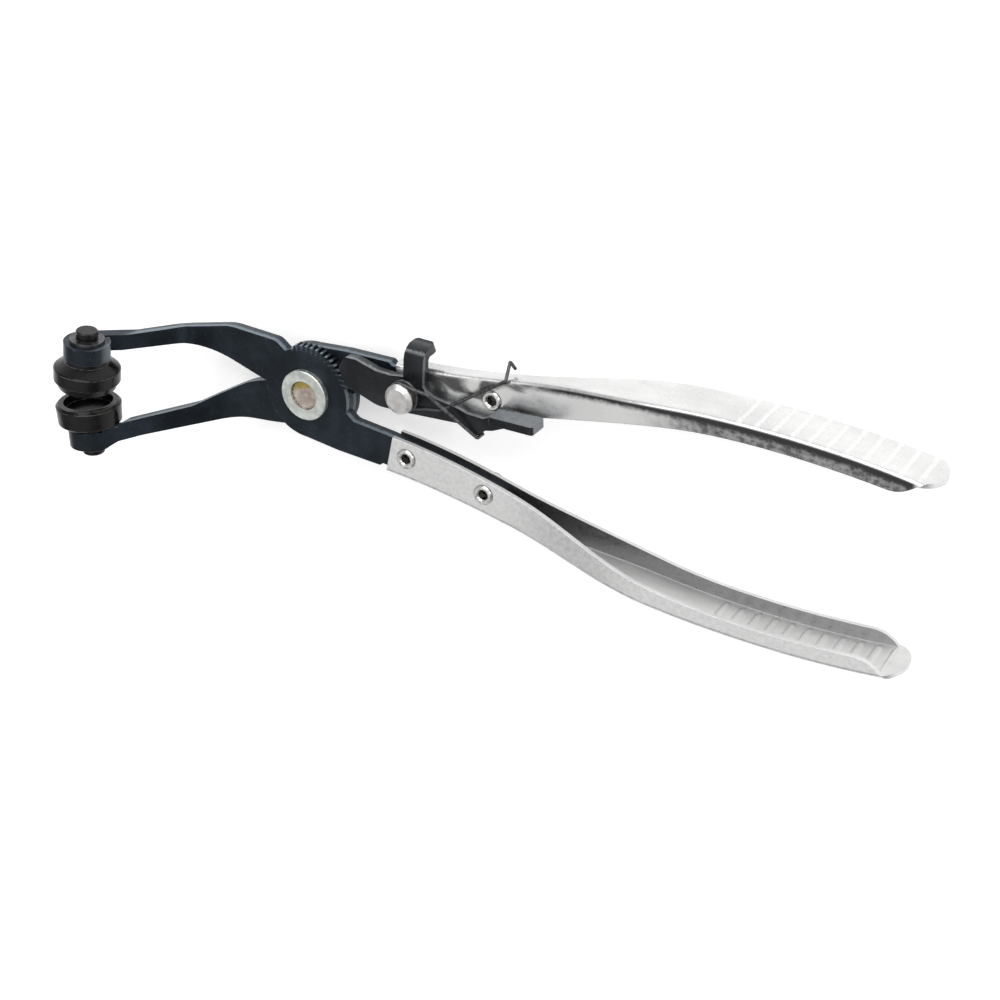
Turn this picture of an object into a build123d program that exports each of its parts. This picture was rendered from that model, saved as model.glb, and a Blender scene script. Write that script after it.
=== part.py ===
from build123d import *
import math
import os

# Hose clamp pliers. Millimetres. X runs from the pivot to the handles, Y to the upper jaw, Z to the front.
# The outlines are drawn with z = 0 on the seam of the two jaw plates. At the end everything is raised, so
# that the origin lies on the pivot axis, on the outer face of the rivet's rear head.

# Fits and cuts
running_gap = 0.05
side_gap = 0.1
cut_over = 5.0

# Jaw plates
plate_thickness = 3.5
hub_radius = 13.7
hub_fillet = 2.4
plate_corner = 0.8

# Pivot rivet and its front washer
pivot_shank_radius = 4.4
rivet_head_radius = 7.5
rivet_head_height = 1.6
rivet_head_chamfer = 0.4
washer_radius = 7.55
washer_height = 1.6
washer_edge = 0.25
rivet_recess = 0.9

# Ratchet rim of the front plate
tooth_root_inset = 0.65
tooth_tip_rise = 0.9
tooth_count = 13
tooth_pitch_deg = 7.0
first_tooth_deg = 21.0
tooth_land_share = 0.34
tooth_back_share = 0.92

# Bent jaw arms and their rolled eyes
arm_reach = 62.1
eye_height_over_seam = 25.4
arm_bend_deg = 45.0
upper_bend_radius = 6.5
lower_bend_radius = 16.0
eye_tilt_deg = 3.8
upper_eye_length = 4.95
lower_eye_length = 5.65
eye_mouth = 0.9
lower_eye_turn_deg = 292.0
eye_heel_share = 1.25
eye_neck_share = 0.58
upper_outer_shares = (
    (-0.117, 0.185, 0.0),
    (-0.170, 0.224, 0.06),
    (-0.430, 0.231, 0.25),
    (-0.720, 0.152, 0.5),
)
upper_inner_shares = (
    (-0.720, 0.069, 0.12),
    (-0.540, 0.098, 0.6),
    (-0.235, 0.010, 0.013),
)
lower_inner_shares = (
    (-0.220, -0.010, 0.0),
    (-0.350, -0.052, 0.5),
    (-0.590, -0.191, 0.06),
    (-0.805, -0.245, 0.02),
    (-0.832, -0.252, 0.01),
)
lower_outer_shares = (
    (-0.755, -0.320, 0.3),
    (-0.420, -0.255, 0.8),
    (-0.235, -0.232, 0.2),
    (-0.140, -0.216, 0.0),
)

# Swivel pads
pad_gap = 4.75
pad_line_drop = 8.4
pad_stem_radius = 3.2
pad_collar_radius = 6.4
upper_pad_radius = 9.65
upper_pad_height = 6.65
upper_pad_flange = 4.0
upper_pad_step = 0.5
upper_pad_face_radius = 8.4
upper_pad_cone = 1.7
upper_pad_collar = 1.25
lower_pad_radius = 9.6
lower_pad_height = 6.4
lower_pad_back_radius = 9.3
lower_pad_collar = 1.45
pad_clearance = 0.35
pad_recess_radius = 7.25
pad_recess_depth = 2.6
pad_edge = 0.4
upper_stem_stand = 3.55
lower_stem_stand = 3.15
stem_chamfer = 0.3
ring_radius = 5.05
ring_height = 0.9
ring_groove_depth = 0.5
ring_slot = 1.8

# Tangs that the plates put into the handles
tang_end = 66.0
tang_edge_gap = 0.6
tang_corner = 3.0
tang_neck_end = 25.3
tang_neck_offset = 15.4
tang_neck_lead = 11.0
tang_neck_lead_offset = 14.85
tang_waist = 4.3
tang_step = 0.9
tang_root_deg = 117.0

# Channel handles, mirrored about the middle plane
sheet = 1.3
handle_start = 28.2
handle_start_lean = 1.7
handle_flange_end = 178.4
handle_tip = 182.9
flange_run_out = 8.0
handle_spread = 30.1
handle_depth = 11.7
handle_half_width = 8.4
handle_corner_radius = 1.5
station_shares = (0.0, 0.145, 0.345, 0.545, 0.745, 1.0)
web_shares = (0.545, 0.618, 0.797, 0.953, 1.0, 0.91)
depth_shares = (1.0, 0.966, 0.812, 0.525, 0.445, 0.39)
neck_end_share = 0.252
full_width_share = 0.56
tip_web_share = 0.885

# Grip grooves pressed into the handles' webs, with a bulge inside for each
groove_count = 11
groove_pitch = 4.7
groove_start = 131.0
groove_radius = 1.5
groove_depth = 0.35
groove_half_length = 6.6
groove_full_share = 0.75
bulge_radius = 2.2

# Semi-tubular rivets of the handles: a round head behind, the tube rolled over in front
near_rivet_x = 34.6
near_rivet_drop = 6.95
far_rivet_x = 59.7
far_rivet_drop = 6.64
upper_rivet_x = 58.9
upper_rivet_drop = 6.7
tube_rivet_radius = 2.1
tube_rivet_bore = 1.4
tube_rivet_bore_depth = 4.2
tube_rivet_lip = 2.95
tube_rivet_lip_height = 0.7
tube_rivet_lip_edge = 0.45
tube_rivet_head = 4.2
tube_rivet_head_height = 1.5
tube_rivet_head_shares = ((0.55, 1.0), (0.84, 0.75), (1.0, 0.3), (1.0, 0.0))

# Ratchet pawl with its thumb tab and finger tab
pawl_thickness = 3.0
pawl_nose_lap = 0.85
lever_reach = 22.0
pawl_tooth_gap = 0.35
pawl_tooth_depth = 0.9
pawl_tooth_count = 2
pawl_nose_lead_deg = 10.6
pawl_head_shares = (
    (0.213, 0.176, 0.0),
    (-0.059, 0.226, 0.03),
    (-0.220, 0.244, 0.1),
    (-0.429, 0.312, 0.2),
    (-0.687, 0.465, 0.12),
    (-0.842, 0.503, 0.06),
    (-0.960, 0.387, 0.1),
    (-1.028, 0.157, 0.0),
    (-0.891, 0.078, 0.03),
    (-0.738, -0.010, 0.3),
    (-0.507, -0.164, 0.5),
    (-0.078, -0.264, 0.5),
)
pawl_lever_shares = (
    (0.8, -0.204, 0.03),
    (0.925, -0.272, 0.1),
    (1.03, -0.3, 0.035),
    (1.12, -0.2, 0.03),
    (1.22, -0.175, 0.2),
    (1.38, -0.095, 0.08),
    (1.5, -0.02, 0.03),
    (1.5, 0.07, 0.02),
    (1.26, 0.05, 0.02),
    (1.08, -0.05, 0.08),
    (0.86, -0.045, 0.15),
    (0.68, 0.0, 0.2),
    (0.37, 0.035, 0.15),
    (0.24, 0.09, 0.05),
)
thumb_tab_width = 6.2
thumb_tab_offset = 1.35
thumb_tab_root = 3.0
thumb_tab_rise = 13.9
thumb_tab_bend_radius = 2.6
thumb_tab_back = 0.8
thumb_tab_curl_deg = 28.0
thumb_tab_curl_radius = 4.5
thumb_tab_corner = 1.2
finger_tab_thickness = 2.3
finger_tab_length = 14.2
finger_tab_width = 7.4
finger_tab_start = 27.8
finger_tab_top = 2.6
finger_tab_slope_deg = 5.4
finger_tab_flare_deg = 6.5
finger_tab_corner = 1.5
finger_tab_gap = 0.35

# Pawl pin, in the place of the upper handle's near rivet
pin_x = 34.3
pin_drop = 6.92
pin_shank_radius = 3.0
pin_head_radius = 4.33
pin_head_height = 1.5
pin_head_bevel = 0.9
pin_head_bevel_width = 1.15
pin_tail_radius = 3.6
pin_tail_height = 0.9
pin_tail_bevel = 0.5

# Pawl spring: wire, coil, the leg that presses on the lever and the leg hooked over the upper handle
wire = 1.0
coil_radius = 4.2
coil_pitch = 2.0
spring_bend = 1.2
push_leg_deg = -18.0
push_leg_share = 0.54
push_leg_reach = 17.2
push_leg_drop = 5.2
push_hook = 3.4
hook_leg_deg = 20.0
hook_leg_run = 11.6
hook_place = 27.2
hook_stand = 2.9
hook_back = 5.2
hook_end_run = 1.9
hook_end_drop = 1.9

# Heights over the seam of the plates
front_low, front_high = 0.0, plate_thickness
back_low, back_high = -plate_thickness - running_gap, -running_gap
rear_stack = rivet_head_height - back_low
front_middle = (front_low + front_high) / 2
back_middle = (back_low + back_high) / 2
flange_front = back_high + sheet
pawl_low = flange_front + side_gap
pawl_high = pawl_low + pawl_thickness
coil_low = pawl_high + side_gap + wire / 2

# Ratchet radii
tooth_root_radius = hub_radius - tooth_root_inset
tooth_tip_radius = hub_radius + tooth_tip_rise

# Places along each pad's own axis, from its working face to the end of the stem
stem_bore_radius = pad_stem_radius + running_gap
eye_radius = stem_bore_radius + plate_thickness / 2
upper_face_y = pad_gap / 2 - pad_line_drop
lower_face_y = -pad_gap / 2 - pad_line_drop
upper_collar_end = upper_pad_height + upper_pad_cone + upper_pad_collar
lower_collar_end = lower_pad_height + lower_pad_collar
upper_eye_start = upper_collar_end + running_gap
lower_eye_start = lower_collar_end + running_gap

handle_length = handle_flange_end - handle_start


def polar(radius, degrees):
    return radius * math.cos(math.radians(degrees)), radius * math.sin(math.radians(degrees))


def outline(corners):
    """A closed face from corners (x, y, rounding radius)."""
    points = [(x, y) for x, y, r in corners]
    return make_face(FilletPolyline(*points, radius=[r for x, y, r in corners], close=True))


def scaled(shares, size):
    """Corners given as shares of a size."""
    return [tuple(value * size for value in corner) for corner in shares]


def slab(face, low, high):
    """The face as a plate between two heights."""
    return extrude(Pos(0, 0, low) * face, amount=high - low)


def at_share(shares, share):
    """A handle's table of shares read between its stations."""
    for a, b, p, q in zip(station_shares, station_shares[1:], shares, shares[1:]):
        if share <= b:
            return p + (q - p) * (share - a) / (b - a)
    return shares[-1]


def web_y(x):
    """Distance of the handle's outer face from the middle plane."""
    return handle_spread * at_share(web_shares, (x - handle_start) / handle_length)


def edge_y(x):
    """Distance of the channel's open edge from the middle plane."""
    return web_y(x) - handle_depth * at_share(depth_shares, (x - handle_start) / handle_length)


pin_y = web_y(pin_x) - pin_drop
pin_deg = math.degrees(math.atan2(pin_y, pin_x))
pawl_reach = math.hypot(pin_x, pin_y) - tooth_tip_radius + pawl_nose_lap


def tang_face(side):
    """Outline of a plate from the hub into its handle. side is 1 for the upper handle, -1 for the lower."""
    hub_x, hub_y = polar(hub_radius, tang_root_deg)
    station = handle_start + station_shares[1] * handle_length
    corners = [
        (0, hub_radius / 2, 0),
        (hub_x, hub_y, 0),
        (0, hub_radius, hub_radius),
        (tang_neck_lead, tang_neck_lead_offset, hub_radius),
        (tang_neck_end, tang_neck_offset, plate_corner),
        (tang_neck_end + tang_step, web_y(handle_start) - sheet - tang_edge_gap, plate_corner),
        (station, web_y(station) - sheet - tang_edge_gap, hub_radius),
        (tang_end, web_y(tang_end) - sheet - tang_edge_gap, tang_corner),
        (tang_end, edge_y(tang_end) + tang_edge_gap, tang_corner),
        (handle_start, edge_y(handle_start) + tang_edge_gap, hub_radius),
        (hub_radius + hub_fillet, tang_waist, hub_fillet),
        (hub_radius, hub_fillet, 0),
    ]
    return outline([(x, side * y, r) for x, y, r in corners])


def rivet_places(side):
    """Where the rivets and the pawl pin pass through a handle."""
    if side > 0:
        return [(pin_x, pin_y), (upper_rivet_x, web_y(upper_rivet_x) - upper_rivet_drop)]
    return [(x, drop - web_y(x)) for x, drop in ((near_rivet_x, near_rivet_drop), (far_rivet_x, far_rivet_drop))]


def rivet_holes(side):
    one, two = [Pos(x, y) * Circle(tube_rivet_radius) for x, y in rivet_places(side)]
    return one + two


def rim_relief():
    """What the ratchet takes off the hub."""
    last = first_tooth_deg + tooth_count * tooth_pitch_deg
    far = 2 * hub_radius
    rim = [polar(far, first_tooth_deg), polar(far, (first_tooth_deg + last) / 2), polar(far, last)]
    return make_face(Polyline((0, 0), *rim, close=True)) - Circle(tooth_root_radius)


def rim_tooth(start_deg):
    """A saw tooth, steep on its clockwise side."""
    foot = 2 * tooth_root_radius - tooth_tip_radius
    corners = [
        polar(foot, start_deg),
        polar(tooth_tip_radius, start_deg),
        polar(tooth_tip_radius, start_deg + tooth_land_share * tooth_pitch_deg),
        polar(tooth_root_radius, start_deg + tooth_back_share * tooth_pitch_deg),
    ]
    return make_face(Polyline(*corners, close=True))


def arm_strip(middle_z, face_y, side, bend_radius, turn_deg):
    """A wide strip of plate: flat, bent to the front, then rolled into the eye on the pad's tilted axis.
    side is 1 for the upper arm, which passes behind the stem, and -1 for the lower, in front of it."""
    bend = math.radians(arm_bend_deg)
    lean, rise = math.sin(bend), math.cos(bend)
    corner_x = -arm_reach - (side * eye_radius + (middle_z - eye_height_over_seam) * rise) / lean
    tangent = bend_radius * math.tan(bend / 2)

    def on_eye(degrees):
        x, z = polar(eye_radius, degrees)
        return (x - arm_reach, 0, z + eye_height_over_seam)

    flat_end = (corner_x + tangent, 0, middle_z)
    bend_middle = (
        corner_x + tangent - bend_radius * math.sin(bend / 2),
        0,
        middle_z + bend_radius - bend_radius * math.cos(bend / 2),
    )
    bend_end = (corner_x - tangent * rise, 0, middle_z + tangent * lean)
    first = (270 if side > 0 else 90) - arm_bend_deg
    turn = -side * turn_deg
    path = Wire(
        [
            Line((0, 0, middle_z), flat_end),
            ThreePointArc(flat_end, bend_middle, bend_end),
            Line(bend_end, on_eye(first)),
            ThreePointArc(on_eye(first), on_eye(first + turn / 2), on_eye(first + turn)),
        ]
    )
    start = Plane(origin=path @ 0, x_dir=(0, 1, 0), z_dir=path % 0)
    strip = sweep(start * Rectangle(2 * arm_reach, plate_thickness), path)
    return Pos(-arm_reach, face_y, 0) * Rot(0, 0, -side * eye_tilt_deg) * Pos(arm_reach, 0, 0) * strip


def upper_eye_turn():
    """Turn of the upper eye, which leaves a mouth between its end and the strip."""
    reach_share = (stem_bore_radius - eye_mouth) / (stem_bore_radius + plate_thickness)
    return 360 - math.degrees(math.acos(reach_share))


def beside_pad(side, face_y, across, along, r):
    """An outline corner given along the pad's tilted axis and across it, towards the pivot."""
    tilt = math.radians(eye_tilt_deg)
    x = across * math.cos(tilt) + along * math.sin(tilt) - arm_reach
    y = along * math.cos(tilt) - across * math.sin(tilt)
    return (x, face_y + side * y, r)


def upper_arm_face():
    inner_x, inner_y, inner_r = scaled(upper_outer_shares, arm_reach)[0]
    eye_end = upper_eye_start + upper_eye_length
    corners = [(-hub_radius / 2, 0, 0), (-hub_radius / 2, inner_y, 0)]
    corners += scaled(upper_outer_shares, arm_reach)
    corners += [
        beside_pad(1, upper_face_y, eye_radius + eye_mouth, eye_end, 0),
        beside_pad(1, upper_face_y, -2 * eye_radius, eye_end, 0),
        beside_pad(1, upper_face_y, -2 * eye_radius, upper_eye_start, 0),
        beside_pad(1, upper_face_y, eye_radius, upper_eye_start, plate_corner),
    ]
    corners += scaled(upper_inner_shares, arm_reach)
    return outline(corners)


def lower_arm_face():
    eye_end = lower_eye_start + lower_eye_length
    neck = lower_eye_start + eye_neck_share * lower_eye_length
    beside = lower_pad_radius + pad_clearance
    beside_collar = pad_collar_radius + pad_clearance
    corners = [(-hub_radius / 2, 0, 0)]
    corners += scaled(lower_inner_shares, arm_reach)
    corners += [
        beside_pad(-1, lower_face_y, beside, lower_pad_height + pad_clearance, plate_corner / 2),
        beside_pad(-1, lower_face_y, beside_collar, lower_pad_height + pad_clearance, plate_corner / 2),
        beside_pad(-1, lower_face_y, beside_collar, lower_eye_start, 0),
        beside_pad(-1, lower_face_y, -2 * eye_radius, lower_eye_start, 0),
        beside_pad(-1, lower_face_y, -2 * eye_radius, eye_end, 0),
        beside_pad(-1, lower_face_y, eye_heel_share * eye_radius, eye_end, pad_edge),
        beside_pad(-1, lower_face_y, lower_pad_radius, neck, pad_edge),
    ]
    corners += scaled(lower_outer_shares, arm_reach)
    corners += [(-hub_radius / 2, lower_outer_shares[-1][1] * arm_reach, 0)]
    return outline(corners)


def pivot_bore(radius):
    return Cylinder(radius, 4 * plate_thickness)


def front_jaw_plate():
    """Upper arm, toothed hub and the tang of the lower handle."""
    face = Circle(hub_radius).face() - rim_relief()
    for i in range(tooth_count):
        face = face + rim_tooth(first_tooth_deg + i * tooth_pitch_deg)
    face = face + tang_face(-1) - rivet_holes(-1)
    arm = arm_strip(front_middle, upper_face_y, 1, upper_bend_radius, upper_eye_turn())
    arm = arm & extrude(Pos(0, 0, -cut_over) * upper_arm_face(), amount=arm_reach)
    return slab(face, front_low, front_high) + arm - pivot_bore(pivot_shank_radius + running_gap)


def back_jaw_plate():
    """Lower arm, hub and the tang of the upper handle."""
    face = Circle(hub_radius).face() + tang_face(1) - rivet_holes(1)
    arm = arm_strip(back_middle, lower_face_y, -1, lower_bend_radius, lower_eye_turn_deg)
    arm = arm & extrude(Pos(0, 0, back_low - cut_over) * lower_arm_face(), amount=arm_reach)
    return slab(face, back_low, back_high) + arm - pivot_bore(pivot_shank_radius)


def rod(radius, low, high):
    """A cylinder on the pivot's axis between two heights."""
    return Pos(0, 0, low) * Cylinder(radius, high - low, align=(Align.CENTER, Align.CENTER, Align.MIN))


def pivot_rivet():
    """A headed rivet from the back, its front end sunk in the washer."""
    head = rod(rivet_head_radius, back_low - rivet_head_height, back_low)
    head = chamfer(head.edges().sort_by(Axis.Z)[0], rivet_head_chamfer)
    return head + rod(pivot_shank_radius, back_low, front_high + running_gap + washer_height - rivet_recess)


def pivot_washer():
    low = front_high + running_gap
    disc = rod(washer_radius, low, low + washer_height)
    disc = chamfer(disc.edges().sort_by(Axis.Z)[-1], washer_edge)
    return disc - pivot_bore(pivot_shank_radius)


def plan_prism(inset, nose):
    """The handle seen from its web, as a tall prism: neck, swell, and a rounded tip if nose is set."""
    neck = plate_thickness / 2 + sheet - inset
    full = handle_half_width - inset
    near = handle_start - cut_over
    neck_x = handle_start + neck_end_share * handle_length
    full_x = handle_start + full_width_share * handle_length
    end_x = handle_flange_end if nose else handle_tip + cut_over
    end = Line((end_x, -full), (end_x, full))
    if nose:
        end = ThreePointArc((end_x, -full), (handle_tip, 0), (end_x, full))
    edges = [
        Line((near, -neck), (neck_x, -neck)),
        Spline((neck_x, -neck), (full_x, -full), tangents=[(1, 0), (1, 0)]),
        Line((full_x, -full), (end_x, -full)),
        end,
        Line((end_x, full), (full_x, full)),
        Spline((full_x, full), (neck_x, neck), tangents=[(-1, 0), (-1, 0)]),
        Line((neck_x, neck), (near, neck)),
        Line((near, neck), (near, -neck)),
    ]
    face = Plane(origin=(0, 0, 0), x_dir=(1, 0, 0), z_dir=(0, 1, 0)) * make_face(Wire(edges))
    return extrude(face, amount=2 * handle_spread)


def web_points(inset):
    stations = [handle_start + s * handle_length for s in station_shares] + [handle_tip]
    heights = [w * handle_spread - inset for w in web_shares] + [tip_web_share * handle_spread - inset]
    return list(zip(stations, heights))


def channel_side():
    """Side view of the handle: web, flanges with their leaning start and rounded run-out."""
    outer = Spline(*web_points(0))
    inner = Spline(*web_points(sheet))
    web = make_face(Wire([outer, Line(outer @ 1, inner @ 1), inner, Line(inner @ 0, outer @ 0)]))
    core = Spline(*web_points(sheet / 2)[:-1])
    stations = [handle_start + s * handle_length for s in station_shares]
    run_out_x = handle_flange_end - flange_run_out
    edge = Spline(
        (handle_start + handle_start_lean, edge_y(handle_start)),
        *[(x, edge_y(x)) for x in stations[1:-1]],
        (run_out_x, edge_y(run_out_x)),
    )
    run_out = Spline(edge @ 1, core @ 1, tangents=[edge % 1, (1, 1)])
    return web + make_face(Wire([core, run_out, edge, Line(edge @ 0, core @ 0)]))


def channel_void():
    """Side view of what the channel leaves open."""
    inner = Spline(*web_points(sheet))
    start, end = inner @ 0, inner @ 1
    under = start - (inner % 0) * cut_over
    over = end + (inner % 1) * cut_over
    low_end, low_start = (over.X, -handle_spread), (under.X, -handle_spread)
    around = Polyline(end, over, low_end, low_start, under, start)
    return make_face(Wire([inner, *around.edges()]))


def web_corners(shape, inset, least_z):
    """The long edges between the web and the flanges."""

    def is_corner(edge):
        middle = edge @ 0.5
        near_web = abs(middle.Y + inset - web_y(middle.X)) < sheet / 2
        return edge.length > handle_length / 9 and near_web and abs(middle.Z) > least_z

    return shape.edges().filter_by(is_corner)


def web_at(x, inset):
    """Point of the web's side view at a station, and the direction out of the handle."""
    curve = Spline(*web_points(inset))
    share = (x - handle_start) / (handle_tip - handle_start)
    for _ in range(4):
        share += (x - (curve @ share).X) / (handle_tip - handle_start)
    along = curve % share
    return curve @ share, Vector(-along.Y, along.X, 0)


def grip_barrels(radius, inset):
    """Barrels across the web that dip into its face and run out at their ends."""
    end = radius - groove_depth
    full = groove_full_share * groove_half_length
    barrel = turned([(end, -groove_half_length), (radius, -full), (radius, full), (end, groove_half_length)])
    barrels = []
    for i in range(groove_count):
        point, outwards = web_at(groove_start + i * groove_pitch, inset)
        barrels.append(Pos(point + outwards * end) * barrel)
    return barrels


def handle(side, middle_z):
    """A pressed channel. Its web faces outwards, its flanges run out before the rounded tip."""
    width = 4 * handle_half_width
    body = extrude(channel_side(), amount=width / 2, both=True) & plan_prism(0, True)
    body = fillet(web_corners(body, 0, plate_thickness / 2), handle_corner_radius)
    void = extrude(channel_void(), amount=width / 2, both=True) & plan_prism(sheet, False)
    void = fillet(web_corners(void, sheet, plate_thickness / 4), handle_corner_radius - sheet)
    body = body - (void - grip_barrels(bulge_radius, sheet)) - grip_barrels(groove_radius, 0)
    for x, y in rivet_places(side):
        body = body - Pos(x, abs(y), 0) * Cylinder(tube_rivet_radius, width)
    if side < 0:
        body = mirror(body, about=Plane.XZ)
    return Pos(0, 0, middle_z) * body


def turned(corners):
    """A solid of revolution about Z, from its section's corners (radius, height)."""
    section = Polyline((0, corners[0][1]), *corners, (0, corners[-1][1]), close=True)
    return revolve(Plane.XZ * make_face(section), Axis.Z)


def tube_rivet(x, y, middle_z):
    """A semi-tubular rivet through both flanges and the tang."""
    half = plate_thickness / 2 + sheet
    top = half + tube_rivet_lip_height
    corners = [(r * tube_rivet_head, -half - h * tube_rivet_head_height) for r, h in tube_rivet_head_shares]
    corners += [
        (tube_rivet_radius, -half),
        (tube_rivet_radius, half),
        (tube_rivet_lip, half),
        (tube_rivet_lip, top - tube_rivet_lip_edge),
        (tube_rivet_lip - tube_rivet_lip_edge, top),
        (tube_rivet_bore + tube_rivet_lip_edge, top),
        (tube_rivet_bore, top - tube_rivet_lip_edge),
        (tube_rivet_bore, top - tube_rivet_bore_depth),
    ]
    return Pos(x, y, middle_z) * turned(corners)


def lower_handle_rivets():
    one, two = [tube_rivet(x, y, front_middle) for x, y in rivet_places(-1)]
    return one + two


def upper_handle_rivet():
    return tube_rivet(*rivet_places(1)[1], back_middle)


def seat(side, face_y):
    """From a turned piece's own axis to the pad's tilted axis. Height is counted from the working face."""
    tilt = math.radians(eye_tilt_deg)
    axis = (math.sin(tilt), side * math.cos(tilt), 0)
    across = (math.cos(tilt), -side * math.sin(tilt), 0)
    return Plane(origin=(-arm_reach, face_y, eye_height_over_seam), x_dir=across, z_dir=axis).location


def pad_recess():
    return [(pad_recess_radius, pad_recess_depth), (pad_recess_radius, 0)]


def stem(collar_end, eye_length, stand):
    """Collar end, bearing and ring groove of a pad's stem."""
    eye_end = collar_end + running_gap + eye_length
    low, high, end = eye_end, eye_end + running_gap + ring_height, eye_end + stand
    groove = pad_stem_radius - ring_groove_depth
    return [
        (pad_collar_radius, collar_end),
        (pad_stem_radius, collar_end),
        (pad_stem_radius, low),
        (groove, low),
        (groove, high),
        (pad_stem_radius, high),
        (pad_stem_radius, end - stem_chamfer),
        (pad_stem_radius - stem_chamfer, end),
    ]


def upper_pad():
    """A flange with a hollow working face, and a cone up to the collar."""
    flange_low = upper_pad_height - upper_pad_flange
    corners = pad_recess() + [
        (upper_pad_face_radius - pad_edge, 0),
        (upper_pad_face_radius, pad_edge),
        (upper_pad_radius - upper_pad_step, flange_low),
        (upper_pad_radius, flange_low),
        (upper_pad_radius, upper_pad_height - pad_edge),
        (upper_pad_radius - pad_edge, upper_pad_height),
        (pad_collar_radius, upper_pad_height + upper_pad_cone),
    ]
    corners += stem(upper_collar_end, upper_eye_length, upper_stem_stand)
    return seat(1, upper_face_y) * turned(corners)


def lower_pad():
    """A cup, widest under its rim and drawn in towards its back."""
    corners = pad_recess() + [
        (lower_pad_radius - 2 * pad_edge, 0),
        (lower_pad_radius, 2 * pad_edge),
        (lower_pad_back_radius, lower_pad_height - pad_edge),
        (lower_pad_back_radius - pad_edge, lower_pad_height),
        (pad_collar_radius, lower_pad_height),
    ]
    corners += stem(lower_collar_end, lower_eye_length, lower_stem_stand)
    return seat(-1, lower_face_y) * turned(corners)


def pad_ring(side, face_y, eye_end):
    """A snap ring in the stem's groove, open at the back."""
    groove = pad_stem_radius - ring_groove_depth
    ring = Circle(ring_radius) - Circle(groove)
    ring = ring - Pos(0, side * ring_radius) * Rectangle(ring_slot, 2 * ring_radius)
    return seat(side, face_y) * Pos(0, 0, eye_end + running_gap) * extrude(ring, amount=ring_height)


def upper_pad_ring():
    return pad_ring(1, upper_face_y, upper_eye_start + upper_eye_length)


def lower_pad_ring():
    return pad_ring(-1, lower_face_y, lower_eye_start + lower_eye_length)


def coil_high():
    """Height of the coil's front turn, where the pressing leg leaves it."""
    return coil_low + coil_pitch * coil_turn_deg() / 360


def coil_turn_deg():
    return 360 + 180 + hook_leg_deg - push_leg_deg


def pawl_pin():
    """Headed pin of the pawl, shouldered on the flange and riveted over behind it."""
    low = back_middle - plate_thickness / 2 - sheet
    back = low - pin_tail_height
    under = coil_high() + wire / 2 + side_gap
    top = under + pin_head_height
    corners = [
        (pin_tail_radius - pin_tail_bevel, back),
        (pin_tail_radius, back + pin_tail_bevel),
        (pin_tail_radius, low),
        (tube_rivet_radius, low),
        (tube_rivet_radius, flange_front),
        (pin_shank_radius, flange_front),
        (pin_shank_radius, under),
        (pin_head_radius, under),
        (pin_head_radius, top - pin_head_bevel),
        (pin_head_radius - pin_head_bevel_width, top),
    ]
    return Pos(pin_x, pin_y) * turned(corners)


def nose_teeth():
    """The teeth of the pawl's nose, on the ratchet's pitch and just clear of its tips."""
    tip = tooth_tip_radius + pawl_tooth_gap
    foot = tip + pawl_tooth_depth
    teeth = []
    for i in range(pawl_tooth_count):
        start = pin_deg + pawl_nose_lead_deg + i * tooth_pitch_deg
        corners = [
            polar(foot + pawl_tooth_depth, start),
            polar(tip, start),
            polar(tip, start + tooth_land_share * tooth_pitch_deg),
            polar(foot + pawl_tooth_depth, start + tooth_pitch_deg),
        ]
        teeth.append(make_face(Polyline(*corners, close=True)))
    return teeth


def pawl_plate():
    c, s = polar(1, pin_deg)
    head = [(x * c - y * s, x * s + y * c, r) for x, y, r in scaled(pawl_head_shares, pawl_reach)]
    face = Pos(pin_x, pin_y) * outline(head + scaled(pawl_lever_shares, lever_reach))
    face = face - Circle(tooth_tip_radius + pawl_tooth_gap + pawl_tooth_depth)
    for tooth in nose_teeth():
        face = face + tooth
    return slab(face - Pos(pin_x, pin_y) * Circle(pin_shank_radius + running_gap), pawl_low, pawl_high)


def thumb_tab():
    """A strip up from the pawl, bent back over the handle's web and curled up at its end."""
    x = pin_x + thumb_tab_offset
    middle = (pawl_low + pawl_high) / 2
    bend = thumb_tab_bend_radius
    top_y = pin_y + thumb_tab_rise - pawl_thickness / 2
    back_z = middle - bend - thumb_tab_back

    def on_bend(degrees):
        y, z = polar(bend, degrees)
        return (x, top_y - bend + y, middle - bend + z)

    def on_curl(degrees):
        y, z = polar(thumb_tab_curl_radius, degrees)
        return (x, top_y + thumb_tab_curl_radius - y, back_z - z)

    path = Wire(
        [
            Line((x, pin_y + thumb_tab_root, middle), on_bend(90)),
            ThreePointArc(on_bend(90), on_bend(45), on_bend(0)),
            Line(on_bend(0), on_curl(0)),
            ThreePointArc(on_curl(0), on_curl(thumb_tab_curl_deg / 2), on_curl(thumb_tab_curl_deg)),
        ]
    )
    start = Plane(origin=path @ 0, x_dir=(1, 0, 0), z_dir=path % 0)
    tab = sweep(start * Rectangle(thumb_tab_width, pawl_thickness), path)
    corners = tab.edges().filter_by(lambda edge: abs(edge.length / pawl_thickness - 1) < 0.1)
    return fillet(corners.sort_by(Axis.Z)[:2], thumb_tab_corner)


def finger_tab():
    """A shelf bent forwards from the lever's end. It leans with the handle's swelling flange."""
    flare = finger_tab_length * math.tan(math.radians(finger_tab_flare_deg))
    low = flange_front + finger_tab_gap
    high = low + finger_tab_width
    corners = [
        (0, low, 0),
        (finger_tab_length, low + flare, finger_tab_corner),
        (finger_tab_length, high + flare, finger_tab_corner / 2),
        (0, high, finger_tab_corner / 3),
    ]
    shelf = Plane(origin=(0, 0, 0), x_dir=(1, 0, 0), z_dir=(0, -1, 0)) * outline(corners)
    place = Pos(pin_x + finger_tab_start, pin_y + finger_tab_top, 0)
    return place * Rot(0, 0, finger_tab_slope_deg) * extrude(shelf, amount=finger_tab_thickness)


def ratchet_pawl():
    return pawl_plate() + thumb_tab() + finger_tab()


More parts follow.
